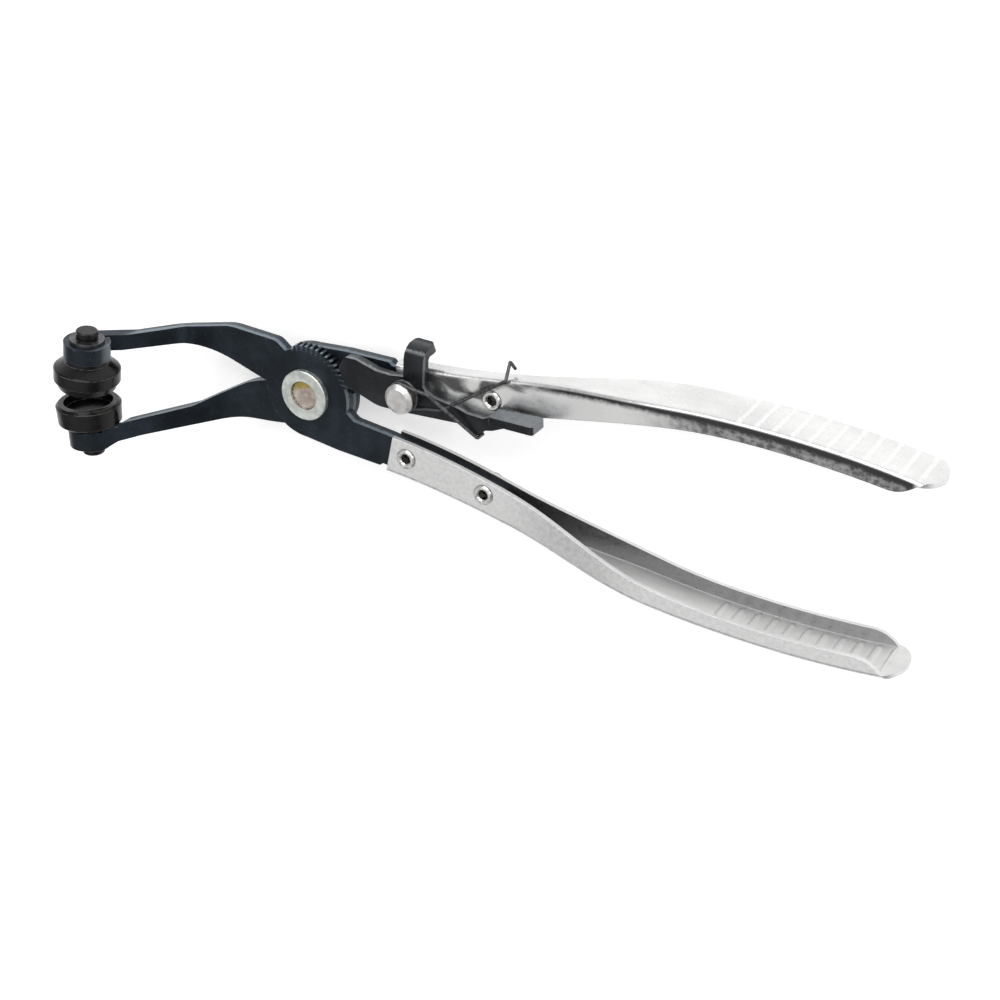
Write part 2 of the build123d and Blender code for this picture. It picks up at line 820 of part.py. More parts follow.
def arc_pair(a, ta, b, tb):
    """Two tangent arcs from a along ta to b along tb."""
    chord = b - a
    both = ta + tb
    square = 4 - both.dot(both)
    along = chord.dot(both)
    reach = (math.sqrt(along**2 + square * chord.dot(chord)) - along) / square
    first = a + ta * reach
    second = b - tb * reach
    middle = (first + second) * 0.5
    return [TangentArc(a, middle, tangent=ta), TangentArc(middle, b, tangent=second - first)]


def coil_station(share):
    """Place and direction on the coil, from its front turn back to the pawl."""
    degrees = 90 + push_leg_deg + share * coil_turn_deg()
    x, y = polar(coil_radius, degrees)
    tx, ty = polar(coil_radius, degrees + 90)
    drop = share * coil_turn_deg() / 360 * coil_pitch
    place = Vector(pin_x + x, pin_y + y, coil_high() - drop)
    return place, Vector(tx, ty, -coil_pitch / math.tau).normalized()


def push_leg(start, direction):
    """Over the lever to its lower edge, then down behind that edge."""
    end = Vector(pin_x + push_leg_reach, pin_y - push_leg_drop, pawl_high + running_gap + wire / 2)
    knee = start - direction * (push_leg_share * (start - end).length)
    knee = Vector(knee.X, knee.Y, start.Z - wire)
    lead = start - direction * wire
    return FilletPolyline(end - Vector(0, 0, push_hook), end, knee, lead, start, radius=spring_bend).edges()


def hook_leg(start, direction):
    """Over the pawl and the flange to the web, then over the web with an upturned end."""
    lead = start + direction * wire
    flat = Vector(direction.X, direction.Y, 0).normalized() * hook_leg_run
    knee = Vector(start.X + flat.X, start.Y + flat.Y, pawl_high + running_gap + wire / 2)
    x = pin_x + hook_place
    edge = Vector(x, web_y(x) + running_gap + wire / 2, flange_front + running_gap + wire / 2)
    tip = Vector(x, web_y(x) + hook_stand, edge.Z - hook_back)
    end = tip + Vector(hook_end_run, -hook_end_drop, 0)
    return FilletPolyline(start, lead, knee, edge, tip, end, radius=spring_bend).edges()


def least_gap(path):
    """The least space between parts of the wire that aren't neighbours along it, measured on points."""
    steps = math.ceil(4 * path.length / wire)
    apart = math.ceil(4 * math.pi)
    points = [path @ (i / steps) for i in range(steps + 1)]
    far = [(a - b).length for i, a in enumerate(points) for b in points[i + apart :]]
    return min(far) - wire


def pawl_spring():
    """One wire: a leg along the lever, the coil round the pin, and a leg hooked over the handle."""
    steps = math.ceil(coil_turn_deg() / 90)
    stations = [coil_station(i / steps) for i in range(steps + 1)]
    edges = [*push_leg(*stations[0])]
    for (a, ta), (b, tb) in zip(stations, stations[1:]):
        edges += arc_pair(a, ta, b, tb)
    edges += [*hook_leg(*stations[-1])]
    path = Wire(edges)
    tube = sweep(Plane(origin=path @ 0, z_dir=path % 0) * Circle(wire / 2), path)
    share = tube.volume / (math.pi * (wire / 2) ** 2 * path.length)
    print("spring: least gap", round(least_gap(path), 2), "volume over section and length", round(share, 4))
    return tube


nodes = {
    "front_jaw_plate": front_jaw_plate,
    "back_jaw_plate": back_jaw_plate,
    "pivot_rivet": pivot_rivet,
    "pivot_washer": pivot_washer,
    "lower_handle": lambda: handle(-1, front_middle),
    "upper_handle": lambda: handle(1, back_middle),
    "lower_handle_rivets": lower_handle_rivets,
    "upper_handle_rivet": upper_handle_rivet,
    "pawl_pin": pawl_pin,
    "ratchet_pawl": ratchet_pawl,
    "pawl_spring": pawl_spring,
    "upper_pad": upper_pad,
    "lower_pad": lower_pad,
    "upper_pad_ring": upper_pad_ring,
    "lower_pad_ring": lower_pad_ring,
}

os.makedirs("parts", exist_ok=True)
for name, make in nodes.items():
    export_step(Pos(0, 0, rear_stack) * make(), f"parts/{name}.step")
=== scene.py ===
import math

import bpy
from mathutils import Matrix, Vector
from mathutils.bvhtree import BVHTree


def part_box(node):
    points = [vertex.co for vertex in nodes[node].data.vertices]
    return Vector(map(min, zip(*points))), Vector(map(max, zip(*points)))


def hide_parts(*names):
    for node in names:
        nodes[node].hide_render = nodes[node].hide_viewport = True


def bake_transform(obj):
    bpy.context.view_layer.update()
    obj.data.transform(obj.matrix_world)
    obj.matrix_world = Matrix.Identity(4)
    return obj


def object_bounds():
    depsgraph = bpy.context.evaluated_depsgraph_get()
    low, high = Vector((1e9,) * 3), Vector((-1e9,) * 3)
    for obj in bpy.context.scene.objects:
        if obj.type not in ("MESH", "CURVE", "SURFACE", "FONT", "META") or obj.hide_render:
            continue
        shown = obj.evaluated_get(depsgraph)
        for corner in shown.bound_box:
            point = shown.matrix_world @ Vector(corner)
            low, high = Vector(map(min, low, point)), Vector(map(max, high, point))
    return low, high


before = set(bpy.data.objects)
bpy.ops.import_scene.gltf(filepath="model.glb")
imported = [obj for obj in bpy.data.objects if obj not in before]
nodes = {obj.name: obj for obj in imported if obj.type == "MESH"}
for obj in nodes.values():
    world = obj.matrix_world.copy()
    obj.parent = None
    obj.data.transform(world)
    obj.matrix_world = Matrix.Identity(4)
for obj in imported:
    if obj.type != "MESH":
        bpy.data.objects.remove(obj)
cad_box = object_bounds()
MM = 0.001
WHITE = (1, 1, 1, 1)


def middle(node):
    """The middle of a node's box."""
    low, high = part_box(node)
    return [(low[k] + high[k]) / 2 for k in (0, 1, 2)]


# The camera, fitted to the photograph
CAMERA_PLACE = (0.26876, 0.23104, 0.40140)
CAMERA_FORWARD = (-0.403799, -0.484972, -0.775724)
CAMERA_RIGHT = (0.872512, 0.050805, -0.485944)
CAMERA_LENS = 66.106
SENSOR_WIDTH = 36.0
NEAR_CLIP = 0.01
FAR_CLIP = 60.0

# Jaw plates and pawl: the middle of each one's thickness, and the x where each plate bends up.
# The pawl's own plate doesn't bend up, so that place is put far to the left of it.
FRONT_PLATE_MIDDLE = 6.9 * MM
BACK_PLATE_MIDDLE = 3.35 * MM
PAWL_MIDDLE = 8.0 * MM
FRONT_PLATE_BEND = -45.5 * MM
BACK_PLATE_BEND = -27.8 * MM
PAWL_BEND = -100 * MM
PLATE_HALF = 1.75 * MM
PAWL_HALF = 1.5 * MM
WORN_EDGES_FROM = -55 * MM
COS_45 = 0.7071
# The lower pad's recess, inside which painted shade goes
CUP_RADIUS = 6.6 * MM
CUP_DEPTH = 5.5 * MM

# Handles and their rivets
WEB_STATIONS = 12
RAY_START = 0.2
GROOVES = 11
GROOVE_START = 131 * MM
GROOVE_PITCH = 4.7 * MM
# Places along x where the upper flange's painted reflections and painted shade change
SMOKY_REFLECTION_FULL = 64 * MM
SMOKY_REFLECTION_END = 80 * MM
MOTTLED_REFLECTION_START = 95 * MM
MOTTLED_REFLECTION_FULL = 125 * MM
# Radii of a tubular rivet's hole and lip, where its painted shade goes
HOLE_RADIUS = 1.55 * MM
LIP_RADIUS = 2.75 * MM

# Spring on the pawl's pin. Its lever leg presses on the pawl, its web leg is hooked over the handle.
# A run is a leg's straight start in mm, and a reach is its far end's x from the pin. The hook's steps
# are x, y and z from the outside of the web, at the flange's front.
PIN = middle("pawl_pin")
PAWL_FRONT = 9.5 * MM
FLANGE_FRONT = 6.4 * MM
WIRE = 1.0 * MM
WIRE_BEND = 0.9 * MM
COIL_RADIUS = 4.2 * MM
COIL_START_DEG = 72.0
COIL_TURN_DEG = 578.0
COIL_STEP_DEG = 20.0
COIL_FRONT = 13.31 * MM
COIL_BACK = 10.10 * MM
OFF_COIL = 1
LEVER_LEG_RUN = 7
LEVER_LEG_DROP = 1 * MM
LEVER_LEG_REACH = 22.7 * MM
LEVER_LEG_END = 2.6 * MM
LEVER_LEG_GAP = WIRE * 0.55
WEB_LEG_RUN = 9
WEB_LEG_REACH = 28.8 * MM
HOOK_STEPS = (
    (0, -0.1 * MM, WIRE * 0.65),
    (-0.8 * MM, 4.1 * MM, -2.9 * MM),
    (-0.2 * MM, 1.4 * MM, -5.0 * MM),
)

# Studio
FLOOR_HALF = 25.0
FLOOR_GAP = 0.2 * MM
FLOOR_LIFT = 0.5
DIM_SKY, BRIGHT_SKY = 0.28, 0.95
DIM_BELOW, BRIGHT_ABOVE = 0.35, 0.95
MIRRORED_WHITE_BELOW, MIRRORED_SKY_ABOVE = 0.06, 0.30
LAMPS = (
    # name, place, target, width, height, watts
    ("key", (0.1, 0.9, 0.7), (0.05, 0, 0), 0.8, 0.6, 5.5),
    ("left_glint", (-0.45, 0.75, 0.75), (-0.03, 0, 0.01), 0.12, 0.12, 1.3),
    ("right_glint", (0.95, 0.45, 0.6), (-0.03, 0, 0.01), 0.12, 0.3, 1.6),
)


def make_camera():
    data = bpy.data.cameras.new("camera")
    data.lens = CAMERA_LENS
    data.sensor_width = SENSOR_WIDTH
    data.clip_start = NEAR_CLIP
    data.clip_end = FAR_CLIP
    camera = bpy.data.objects.new("camera", data)
    bpy.context.collection.objects.link(camera)
    forward, right = Vector(CAMERA_FORWARD), Vector(CAMERA_RIGHT)
    axes = Matrix((right, right.cross(forward), -forward)).transposed().to_4x4()
    camera.matrix_world = Matrix.Translation(CAMERA_PLACE) @ axes
    bpy.context.scene.camera = camera


# Small helpers for shader nodes

def put(tree, socket, value):
    """Links a socket to an output, or sets it to a plain value."""
    if isinstance(value, bpy.types.NodeSocket):
        tree.links.new(value, socket)
    else:
        socket.default_value = value


def math_node(tree, operation, a, b=0.0):
    node = tree.nodes.new("ShaderNodeMath")
    node.operation = operation
    put(tree, node.inputs[0], a)
    put(tree, node.inputs[1], b)
    return node.outputs[0]


def map_range(tree, value, low, high, out_low, out_high, shape="SMOOTHSTEP"):
    """The value, carried from low and high to out_low and out_high."""
    node = tree.nodes.new("ShaderNodeMapRange")
    node.interpolation_type = shape
    numbers = {"Value": value, "From Min": low, "From Max": high, "To Min": out_low, "To Max": out_high}
    for name, number in numbers.items():
        put(tree, node.inputs[name], number)
    return node.outputs[0]


def light_rays(tree):
    """Two outputs: 1 on the camera's rays, and 1 on mirrored or refracted rays."""
    path = tree.nodes.new("ShaderNodeLightPath")
    glossy, through = path.outputs["Is Glossy Ray"], path.outputs["Is Transmission Ray"]
    return path.outputs["Is Camera Ray"], math_node(tree, "MAXIMUM", glossy, through)


def grey(level):
    return level, level, level


class Nodes:
    """Builds a material's nodes. An argument is another node's output or a plain value."""

    def __init__(self, name):
        self.material = bpy.data.materials.new(name)
        self.material.use_nodes = True
        self.tree = self.material.node_tree
        self.tree.nodes.clear()
        coords = self.tree.nodes.new("ShaderNodeTexCoord")
        self.object = coords.outputs["Object"]
        self.normal = coords.outputs["Normal"]

    def put(self, socket, value):
        put(self.tree, socket, value)

    def math(self, operation, a, b=0.0):
        return math_node(self.tree, operation, a, b)

    def add(self, a, b):
        return self.math("ADD", a, b)

    def minus(self, a, b):
        return self.math("SUBTRACT", a, b)

    def times(self, *factors):
        total = factors[0]
        for factor in factors[1:]:
            total = self.math("MULTIPLY", total, factor)
        return total

    def ramp(self, value, low, high, out_low=0.0, out_high=1.0):
        """Smooth between the two ends."""
        return map_range(self.tree, value, low, high, out_low, out_high)

    def straight(self, value, low, high, out_low, out_high):
        """Straight between the two ends."""
        return map_range(self.tree, value, low, high, out_low, out_high, "LINEAR")

    def parts(self, vector):
        node = self.tree.nodes.new("ShaderNodeSeparateXYZ")
        self.put(node.inputs[0], vector)
        return node.outputs[0], node.outputs[1], node.outputs[2]

    def noise(self, size, detail=3.0, rough=0.55, stretch=(1, 1, 1), distortion=0.0):
        """Noise from 0 to 1 with spots of about that size in metres."""
        scaled = self.tree.nodes.new("ShaderNodeMapping")
        self.put(scaled.inputs["Vector"], self.object)
        scaled.inputs["Scale"].default_value = [s / size for s in stretch]
        node = self.tree.nodes.new("ShaderNodeTexNoise")
        node.inputs["Scale"].default_value = 1.0
        node.inputs["Detail"].default_value = detail
        node.inputs["Roughness"].default_value = rough
        node.inputs["Distortion"].default_value = distortion
        self.put(node.inputs["Vector"], scaled.outputs[0])
        return node.outputs["Fac"]

    def mix(self, share, a, b):
        node = self.tree.nodes.new("ShaderNodeMix")
        node.data_type = "RGBA"
        self.put(node.inputs["Factor"], share)
        for socket, colour in ((node.inputs[6], a), (node.inputs[7], b)):
            self.put(socket, colour if isinstance(colour, bpy.types.NodeSocket) else (*colour, 1))
        return node.outputs[2]

    def plain(self, colour):
        """The colour without its hue."""
        node = self.tree.nodes.new("ShaderNodeRGBToBW")
        self.put(node.inputs[0], colour)
        return node.outputs[0]

    def shade(self, colour, share):
        """The colour times a share."""
        node = self.tree.nodes.new("ShaderNodeVectorMath")
        node.operation = "SCALE"
        self.put(node.inputs[0], colour)
        self.put(node.inputs["Scale"], share)
        return node.outputs[0]

    def rounded(self, radius):
        """The normal, with edges that look rounded."""
        node = self.tree.nodes.new("ShaderNodeBevel")
        node.inputs["Radius"].default_value = radius
        return node.outputs[0]

    def bump(self, height, distance, round_edges=0.12 * MM):
        """Surface relief of that depth in metres, over edges that look rounded."""
        node = self.tree.nodes.new("ShaderNodeBump")
        self.put(node.inputs["Height"], height)
        node.inputs["Distance"].default_value = distance
        self.put(node.inputs["Normal"], self.rounded(round_edges))
        return node.outputs[0]

    def rims(self, width):
        """From 0 on faces to 1 on edges and corners, that wide in metres."""
        shape = self.tree.nodes.new("ShaderNodeNewGeometry")
        node = self.tree.nodes.new("ShaderNodeVectorMath")
        node.operation = "DOT_PRODUCT"
        self.put(node.inputs[0], self.rounded(width))
        self.put(node.inputs[1], shape.outputs["Normal"])
        return self.ramp(node.outputs["Value"], 0.99, 0.90)

    def curve(self, value, points):
        """A smooth curve through points (value, result), in metres."""
        low_x, high_x = points[0][0], points[-1][0]
        low_y, high_y = min(y for x, y in points), max(y for x, y in points)
        node = self.tree.nodes.new("ShaderNodeFloatCurve")
        line = node.mapping.curves[0]
        places = [((x - low_x) / (high_x - low_x), (y - low_y) / (high_y - low_y)) for x, y in points]
        line.points[0].location, line.points[1].location = places[0], places[-1]
        for place in places[1:-1]:
            line.points.new(*place)
        node.mapping.update()
        self.put(node.inputs["Value"], self.straight(value, low_x, high_x, 0.0, 1.0))
        return self.straight(node.outputs[0], 0.0, 1.0, low_y, high_y)

    def radius_from(self, centre, axes=(0, 1)):
        """Distance in metres from a line through the centre, square to the two axes."""
        place = self.parts(self.object)
        a, b = [self.minus(place[k], centre[k]) for k in axes]
        return self.math("SQRT", self.add(self.times(a, a), self.times(b, b)))

    def scratches(self, size, amount):
        """Fine scratches in three directions, from 0 to 1."""
        total = None
        for stretch in ((1, 14, 3), (12, 1, 4), (6, 9, 1)):
            line = self.ramp(self.noise(size, 2.0, 0.5, stretch, 0.4), 1 - amount, 1 - amount + 0.05)
            total = line if total is None else self.math("MAXIMUM", total, line)
        return total

    def finish(self, **values):
        """The material, with those values on the shader's sockets."""
        shader = self.tree.nodes.new("ShaderNodeBsdfPrincipled")
        output = self.tree.nodes.new("ShaderNodeOutputMaterial")
        self.tree.links.new(shader.outputs[0], output.inputs[0])
        for name, value in values.items():
            self.put(shader.inputs[name.replace("_", " ")], value)
        return self.material


# Black oxide on the jaw plates and the pawl

def black_oxide(name, mid_z, bend_x, half, edge_from_x, edge_share=1.0, blue=1.0):
    """Blue-black oxide. The sheared edges are worn to grey towards the front, darker towards the back.
    mid_z is the plate's middle, bend_x the place where it bends up at 45 degrees."""
    n = Nodes(name)
    x, _, z = n.parts(n.object)
    nx, ny, nz = n.parts(n.normal)
    flat = n.math("ABSOLUTE", nz)
    leaning = n.math("ABSOLUTE", n.times(n.add(nz, nx), COS_45))
    edge = n.minus(1.0, n.ramp(n.math("MAXIMUM", flat, leaning), 0.72, 0.9))
    edge = n.times(edge, n.ramp(x, edge_from_x - 2 * MM, edge_from_x + 2 * MM), n.ramp(ny, -0.6, -0.1))
    depth_flat = n.minus(z, mid_z)
    depth_leaning = n.times(n.minus(depth_flat, n.minus(bend_x, x)), COS_45)
    depth = n.math("MINIMUM", depth_flat, depth_leaning)
    ragged = n.times(n.minus(n.noise(0.9 * MM, 4.0), 0.5), 1.6 * MM)
    front = n.ramp(n.add(depth, ragged), -0.05 * half, 0.45 * half)
    cloud = n.noise(11 * MM, 6.0, 0.62)
    speckle = n.ramp(n.noise(0.55 * MM, 2.0, 0.4), 0.7, 0.78)
    scratch = n.scratches(2.4 * MM, 0.33)
    base = n.mix(n.ramp(cloud, 0.35, 0.7), (0.0020, 0.0028, 0.0044), (0.0140, 0.0185, 0.0260))
    base = n.mix(n.times(speckle, 0.45), base, (0.11, 0.125, 0.15))
    base = n.mix(n.times(scratch, 0.1), base, (0.16, 0.18, 0.21))
    rim = n.times(n.rims(0.3 * MM), n.ramp(n.noise(2.6 * MM, 5.0, 0.6), 0.42, 0.62), 0.7)
    base = n.mix(rim, base, (0.16, 0.185, 0.21))
    worn = n.mix(n.noise(1.4 * MM, 4.0), (0.10, 0.125, 0.15), (0.24, 0.285, 0.32))
    dark = n.mix(n.noise(1.4 * MM, 4.0), (0.008, 0.010, 0.013), (0.036, 0.044, 0.052))
    colour = n.mix(n.times(edge, edge_share), base, n.mix(front, dark, worn))
    if blue < 1:
        colour = n.mix(1 - blue, colour, n.plain(colour))
    grain = n.noise(0.35 * MM, 3.0, 0.6)
    rough = n.add(n.ramp(cloud, 0.3, 0.7, 0.24, 0.40), n.times(grain, 0.08))
    height = n.add(n.times(grain, 0.5), n.times(n.noise(2.5 * MM, 2.0), 0.8))
    height = n.minus(height, n.times(scratch, 0.25))
    return n.finish(
        Base_Color=colour,
        Metallic=0.15,
        Roughness=rough,
        Specular_IOR_Level=0.32,
        Specular_Tint=(1 - 0.32 * blue, 1 - 0.14 * blue, 1, 1),
        Normal=n.bump(height, 0.03 * MM, 0.2 * MM),
    )


def pad_oxide(name, node, cup_radius):
    """Brown-black oxide on a turned pad, with faint turning marks.
    Inside that radius its recess gets painted shade: a darker colour and a weaker reflection."""
    n = Nodes(name)
    y = n.parts(n.object)[1]
    radius = n.radius_from(middle(node), (0, 2))
    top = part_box(node)[1][1]
    in_cup = n.ramp(y, top - CUP_DEPTH - 0.5 * MM, top - CUP_DEPTH)
    # Painted shade in the recess: the mask for its darker colour and weaker reflection
    cup_shade = n.times(n.ramp(radius, cup_radius + 0.2 * MM, cup_radius), in_cup)
    cloud = n.noise(4 * MM, 5.0, 0.6)
    marks = n.noise(0.5 * MM, 3.0, 0.5, (0.12, 1, 0.12))
    colour = n.mix(n.ramp(cloud, 0.35, 0.72), (0.0026, 0.0026, 0.0028), (0.0085, 0.0080, 0.0078))
    speckle = n.ramp(n.noise(0.5 * MM, 2.0, 0.4), 0.7, 0.78)
    colour = n.mix(n.times(speckle, 0.3), colour, grey(0.10))
    worn = n.times(n.rims(0.35 * MM), n.ramp(n.noise(2.2 * MM, 4.0), 0.35, 0.6), 0.8)
    colour = n.mix(worn, colour, (0.22, 0.19, 0.165))
    # Painted shade: the inside of the recess is painted nearly black
    colour = n.mix(n.times(cup_shade, 0.75), colour, grey(0.0015))
    rough = n.add(n.ramp(cloud, 0.3, 0.7, 0.12, 0.24), n.times(marks, 0.08))
    height = n.add(n.times(marks, 0.6), n.times(n.noise(0.3 * MM, 3.0), 0.3))
    return n.finish(
        Base_Color=colour,
        Roughness=rough,
        Specular_IOR_Level=n.straight(cup_shade, 0.0, 1.0, 0.20, 0.08),
        Normal=n.bump(height, 0.02 * MM, 0.3 * MM),
    )


# Plating on the pressed handles

def surface(node):
    """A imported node's mesh, ready for outer_y."""
    mesh = nodes[node].data
    return BVHTree.FromPolygons([v.co for v in mesh.vertices], [tuple(p.vertices) for p in mesh.polygons])


def outer_y(skin, x, z, side):
    """The y at which a surface is met from above (side +1) or from below (side -1)."""
    return skin.ray_cast(Vector((x, side * RAY_START, z)), Vector((0, -side, 0)))[0].y


def web_line(node, side):
    """Points (x, y) along the outside of a handle's web, just short of its ends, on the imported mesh."""
    low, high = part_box(node)
    skin, z = surface(node), middle(node)[2]
    shares = [(i + 0.25) / (WEB_STATIONS - 0.5) for i in range(WEB_STATIONS)]
    stations = [low[0] + (high[0] - low[0]) * share for share in shares]
    return [(x, outer_y(skin, x, z, side)) for x in stations]


def groove_highlight_mask(n, x, ny, depth, spots, side):
    """1 in the grip grooves on the outside of a web, where the grooves get a painted highlight."""
    along = n.math("DIVIDE", n.minus(x, GROOVE_START), GROOVE_PITCH)
    off_groove = n.math("ABSOLUTE", n.minus(n.math("FRACT", n.add(along, 0.5)), 0.5))
    return n.times(
        n.ramp(off_groove, 0.19, 0.06),
        n.ramp(n.times(ny, side), 0.3, 0.6),
        n.ramp(along, -0.5, -0.4),
        n.ramp(along, GROOVES - 0.5, GROOVES - 0.6),
        n.ramp(depth, 1.0 * MM, 0.6 * MM),
        n.ramp(spots, 0.2, 0.6),
    )


def upper_flange_reflections(n, x, depth, spots, streaks, tip_x):
    """The upper handle's front flange, painted with light and shade: a hazy painted reflection near the
    pin, then a painted band of shade under the bend.
    Below the band it is a bright painted reflection, then a mottled, darker painted reflection towards
    the tip, and at the tip all of it is a bright painted highlight."""
    wavy = n.add(depth, n.times(n.minus(spots, 0.5), 1.4 * MM))
    toward_tip = n.ramp(x, MOTTLED_REFLECTION_START, MOTTLED_REFLECTION_FULL)
    shade_band_end = n.straight(toward_tip, 0.0, 1.0, 1.7 * MM, 2.3 * MM)
    # Painted shade: a dark band under the bend, wider towards the tip
    below_shade_band = n.ramp(n.minus(wavy, shade_band_end), -0.3 * MM, 1.4 * MM)
    texture = n.ramp(n.add(spots, n.times(streaks, 0.5)), 0.6, 0.9)
    # Painted reflection below the band: bright, then mottled and darker towards the tip
    low_reflection = n.mix(toward_tip, (0.92, 0.92, 0.91), n.mix(texture, grey(0.12), grey(0.36)))
    flange = n.mix(below_shade_band, (0.045, 0.045, 0.046), low_reflection)
    # Painted reflection near the pin: light, with hazy dark patches
    reflection_smoke = n.noise(6 * MM, 3.0, 0.5, (0.5, 1, 1), 0.6)
    smoky_reflection = n.mix(n.ramp(reflection_smoke, 0.42, 0.6), (0.74, 0.74, 0.73), grey(0.13))
    flange = n.mix(n.ramp(x, SMOKY_REFLECTION_END, SMOKY_REFLECTION_FULL), flange, smoky_reflection)
    # Painted highlight: the flange's run-out at the tip is painted bright
    return n.mix(n.ramp(x, tip_x - 6.5 * MM, tip_x - 4.5 * MM), flange, grey(0.8))


def plated(name, node, side):
    """Bright plating on a pressed handle: drawing lines and dull spots, with painted light: painted
    highlights in the grip grooves, painted reflections and painted shade on the upper flange, and painted
    shade inside the channel.
    side is +1 where the web is above the channel and -1 where it is below."""
    n = Nodes(name)
    low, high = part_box(node)
    mid_z = middle(node)[2]
    x, y, z = n.parts(n.object)
    _, ny, nz = n.parts(n.normal)
    depth = n.times(n.minus(n.curve(x, web_line(node, side)), y), side)
    facing_front = n.ramp(nz, 0.6, 0.9)
    in_front = n.ramp(z, mid_z - 1 * MM, mid_z + 1 * MM)
    outer = n.times(facing_front, in_front)
    inner = n.times(facing_front, n.minus(1.0, in_front))
    lines = n.noise(0.8 * MM, 4.0, 0.6, (0.06, 1, 1))
    spots = n.noise(1.4 * MM, 6.0, 0.65)
    streaks = n.noise(1.1 * MM, 5.0, 0.6, (0.16, 1, 1))
    cloud = n.noise(13 * MM, 4.0, 0.6, (0.5, 1, 1))
    colour = n.mix(n.ramp(cloud, 0.3, 0.7), (0.60, 0.60, 0.596), (0.72, 0.72, 0.715))
    colour = n.mix(n.times(n.ramp(streaks, 0.55, 0.75), 0.3), colour, grey(0.60))
    groove_highlight = groove_highlight_mask(n, x, ny, depth, spots, side)
    # Painted highlight: the grip grooves are painted lighter
    colour = n.mix(n.times(groove_highlight, 0.75), colour, (0.80, 0.80, 0.795))
    if side > 0:
        # On the upper handle the front flange gets painted reflections and painted shade
        flange = upper_flange_reflections(n, x, depth, spots, streaks, high[0])
        colour = n.mix(n.times(outer, n.ramp(depth, 0.7 * MM, 1.2 * MM)), colour, flange)
    else:
        flange = n.mix(n.ramp(spots, 0.3, 0.7), (0.70, 0.70, 0.695), (0.84, 0.84, 0.835))
        colour = n.mix(outer, colour, flange)
    # Painted shade on the inner faces of the channel, darker towards the pivot end
    hollow_shade = n.straight(x, low[0] + 20 * MM, high[0] - 5 * MM, 0.10, 0.34)
    colour = n.mix(inner, colour, n.shade(n.mix(spots, grey(0.7), grey(1.3)), hollow_shade))
    pits = n.ramp(n.noise(0.6 * MM, 2.0, 0.4), 0.73, 0.8)
    colour = n.mix(n.times(pits, 0.35), colour, (0.25, 0.24, 0.23))
    inside = n.ramp(n.times(ny, -side), 0.3, 0.8)
    rough = n.add(n.ramp(spots, 0.3, 0.7, 0.22, 0.32), n.times(lines, 0.08))
    rough = n.add(rough, n.times(inside, 0.22))
    height = n.add(n.times(lines, 0.5), n.times(spots, 0.35))
    height = n.minus(height, n.times(n.scratches(2.0 * MM, 0.32), 0.2))
    relief = n.bump(height, 0.012 * MM, 0.3 * MM)
    return n.finish(Base_Color=colour, Metallic=0.9, Roughness=rough, Normal=relief)


# Small turned and riveted pieces, and wire

def zinc(name, dark, light, rough):
    """Dull zinc plating with a fine grain."""
    n = Nodes(name)
    cloud = n.noise(2.5 * MM, 5.0, 0.6)
    grain = n.noise(0.25 * MM, 3.0, 0.6)
    colour = n.mix(n.ramp(cloud, 0.3, 0.7), dark, light)
    rough = n.add(n.ramp(cloud, 0.3, 0.7, rough, rough + 0.14), n.times(grain, 0.1))
    relief = n.bump(n.add(n.times(grain, 0.6), cloud), 0.02 * MM)
    return n.finish(Base_Color=colour, Metallic=1.0, Roughness=rough, Normal=relief)


def solid_centres(node, count):
    """Centres in x and y of the equal solids that a node holds in a row along x."""
    places = [v.co for v in nodes[node].data.vertices]
    low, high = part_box(node)
    step, slack = (high[0] - low[0]) / count, MM / 100
    centres = []
    for i in range(count):
        start = low[0] + step * i
        group = [p for p in places if start - slack <= p.x <= start + step + slack]
        centres.append([(min(p[k] for p in group) + max(p[k] for p in group)) / 2 for k in (0, 1)])
    return centres


def tubular(name, node, count):
    """Plated tubular rivet, with painted shade down its hole, light patches in it as painted glints, and
    painted shade round its lip.
    """
    n = Nodes(name)
    z = n.parts(n.object)[2]
    nearest = None
    for centre in solid_centres(node, count):
        radius = n.radius_from(centre)
        nearest = radius if nearest is None else n.math("MINIMUM", nearest, radius)
    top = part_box(node)[1][2]
    cloud = n.noise(1.2 * MM, 5.0, 0.6)
    colour = n.mix(n.ramp(cloud, 0.3, 0.7), (0.42, 0.42, 0.41), (0.80, 0.80, 0.78))
    in_hole = n.ramp(nearest, HOLE_RADIUS + 0.07 * MM, HOLE_RADIUS - 0.07 * MM)
    in_hole = n.times(in_hole, n.ramp(z, top - 0.25 * MM, top - 0.6 * MM))
    # Painted shade down the hole, with light patches as painted glints
    hole_shade = n.mix(n.ramp(cloud, 0.40, 0.55), (0.012, 0.011, 0.010), (0.45, 0.43, 0.40))
    colour = n.mix(in_hole, colour, hole_shade)
    # Painted shade round the base of the lip
    lip_foot_shade = n.ramp(nearest, LIP_RADIUS, LIP_RADIUS + 0.15 * MM)
    lip_foot_shade = n.times(lip_foot_shade, n.ramp(z, top - 0.3 * MM, top - 0.6 * MM))
    colour = n.mix(n.times(lip_foot_shade, 0.85), colour, grey(0.03))
    rough = n.ramp(cloud, 0.3, 0.7, 0.2, 0.36)
    relief = n.bump(cloud, 0.02 * MM, 0.2 * MM)
    return n.finish(Base_Color=colour, Metallic=0.95, Roughness=rough, Normal=relief)


